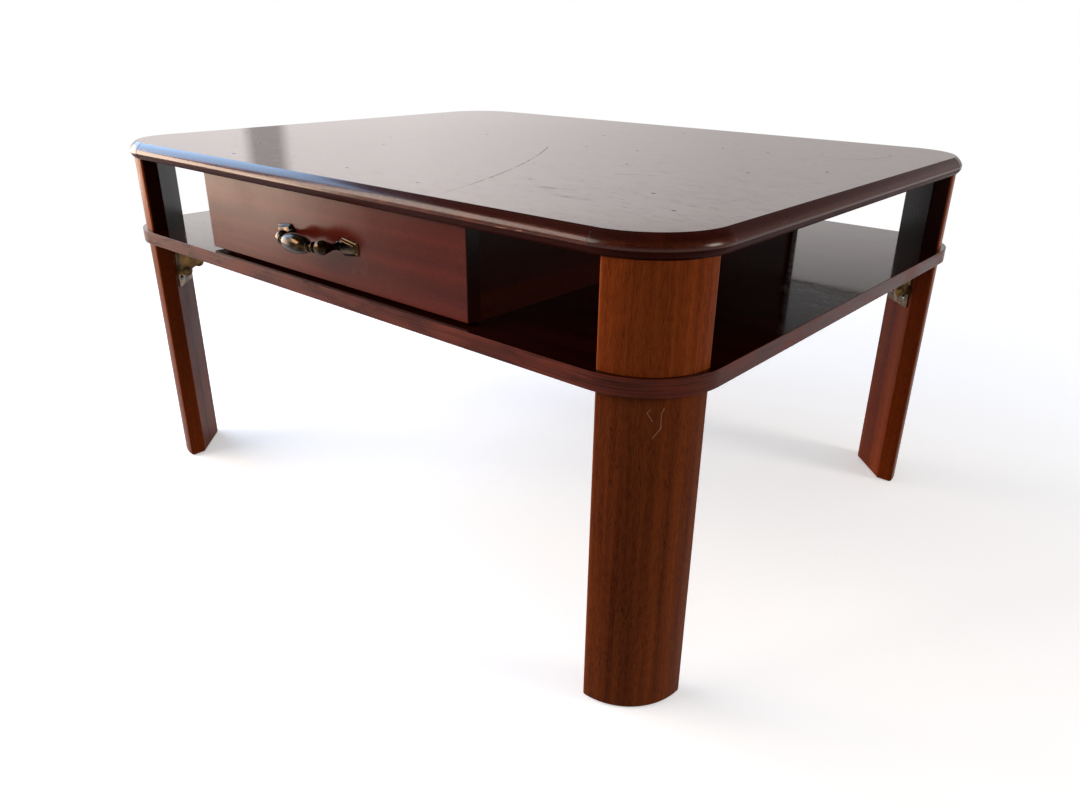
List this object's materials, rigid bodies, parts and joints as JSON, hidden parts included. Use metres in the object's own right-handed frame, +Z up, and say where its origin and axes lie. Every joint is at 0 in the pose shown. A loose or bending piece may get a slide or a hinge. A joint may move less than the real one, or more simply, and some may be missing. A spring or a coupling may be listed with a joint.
{
  "type": "coffee table with drawers",
  "caption": "Low rectangular table with a lipped round-cornered top over a full shelf, a central case of drawers opening on both long sides, and corner legs that fold inwards on brackets.",
  "frame": {"origin": "on the floor, under the centre of the table", "axes": "+X along the long side, +Y from the front drawer to the rear drawer, +Z up"},
  "size_m": [0.98, 0.8298, 0.495],
  "materials": {
    "top_gloss": "gloss",
    "lip_gloss": "gloss",
    "shelf_gloss": "gloss",
    "edge_band": "gloss",
    "leg_wood": "gloss",
    "front_wood": "satin",
    "case_wood": "satin",
    "drawer_wood": "matte",
    "beech": "matte",
    "hardboard": "matte",
    "bracket_brass": "polished",
    "handle_brass": "antique",
    "screw_steel": "polished"
  },
  "bodies": {
    "table": {"case_divider": "case_wood", "case_dowels": "beech", "case_side_left": "case_wood", "case_side_right": "case_wood", "drawer_kickers": "beech", "drawer_runners": "beech", "hinge_base_front_left": "bracket_brass", "hinge_base_front_right": "bracket_brass", "hinge_base_rear_left": "bracket_brass", "hinge_base_rear_right": "bracket_brass", "hinge_base_screws": "screw_steel", "hinge_pin_front_left": "screw_steel", "hinge_pin_front_right": "screw_steel", "hinge_pin_rear_left": "screw_steel", "hinge_pin_rear_right": "screw_steel", "post_dowels": "beech", "post_front_left": "leg_wood", "post_front_right": "leg_wood", "post_rear_left": "leg_wood", "post_rear_right": "leg_wood", "shelf_edge_band": "edge_band", "shelf_panel": "shelf_gloss", "top_lip_corners": "lip_gloss", "top_lip_ends": "lip_gloss", "top_lip_sides": "lip_gloss", "top_panel": "top_gloss"},
    "leg_body_front_left": {"leg_front_left": "leg_wood", "leg_bracket_front_left": "bracket_brass", "leg_bracket_screws_front_left": "screw_steel"},
    "leg_body_front_right": {"leg_front_right": "leg_wood", "leg_bracket_front_right": "bracket_brass", "leg_bracket_screws_front_right": "screw_steel"},
    "leg_body_rear_right": {"leg_rear_right": "leg_wood", "leg_bracket_rear_right": "bracket_brass", "leg_bracket_screws_rear_right": "screw_steel"},
    "leg_body_rear_left": {"leg_rear_left": "leg_wood", "leg_bracket_rear_left": "bracket_brass", "leg_bracket_screws_rear_left": "screw_steel"},
    "front_drawer": {"front_drawer_back": "drawer_wood", "front_drawer_bottom": "hardboard", "front_drawer_face": "front_wood", "front_drawer_side_left": "drawer_wood", "front_drawer_side_right": "drawer_wood", "front_handle": "handle_brass", "front_handle_screws": "screw_steel"},
    "rear_drawer": {"rear_drawer_back": "drawer_wood", "rear_drawer_bottom": "hardboard", "rear_drawer_face": "front_wood", "rear_drawer_side_left": "drawer_wood", "rear_drawer_side_right": "drawer_wood", "rear_handle": "handle_brass", "rear_handle_screws": "screw_steel"}
  },
  "joints": [
    {"name": "front_left_leg_fold", "type": "hinge", "parent": "table", "child": "leg_body_front_left", "pos_m": [-0.42339, -0.32139, 0.305], "axis": [0.7071, -0.7071, 0], "range_deg": [0, 90]},
    {"name": "front_right_leg_fold", "type": "hinge", "parent": "table", "child": "leg_body_front_right", "pos_m": [0.42339, -0.32139, 0.305], "axis": [0.7071, 0.7071, 0], "range_deg": [0, 90]},
    {"name": "rear_right_leg_fold", "type": "hinge", "parent": "table", "child": "leg_body_rear_right", "pos_m": [0.42339, 0.32139, 0.305], "axis": [-0.7071, 0.7071, 0], "range_deg": [0, 90]},
    {"name": "rear_left_leg_fold", "type": "hinge", "parent": "table", "child": "leg_body_rear_left", "pos_m": [-0.42339, 0.32139, 0.305], "axis": [-0.7071, -0.7071, 0], "range_deg": [0, 90]},
    {"name": "front_drawer_slide", "type": "slide", "parent": "table", "child": "front_drawer", "axis": [0, -1, 0], "range_m": [0, 0.26]},
    {"name": "rear_drawer_slide", "type": "slide", "parent": "table", "child": "rear_drawer", "axis": [0, 1, 0], "range_m": [0, 0.26]}
  ]
}
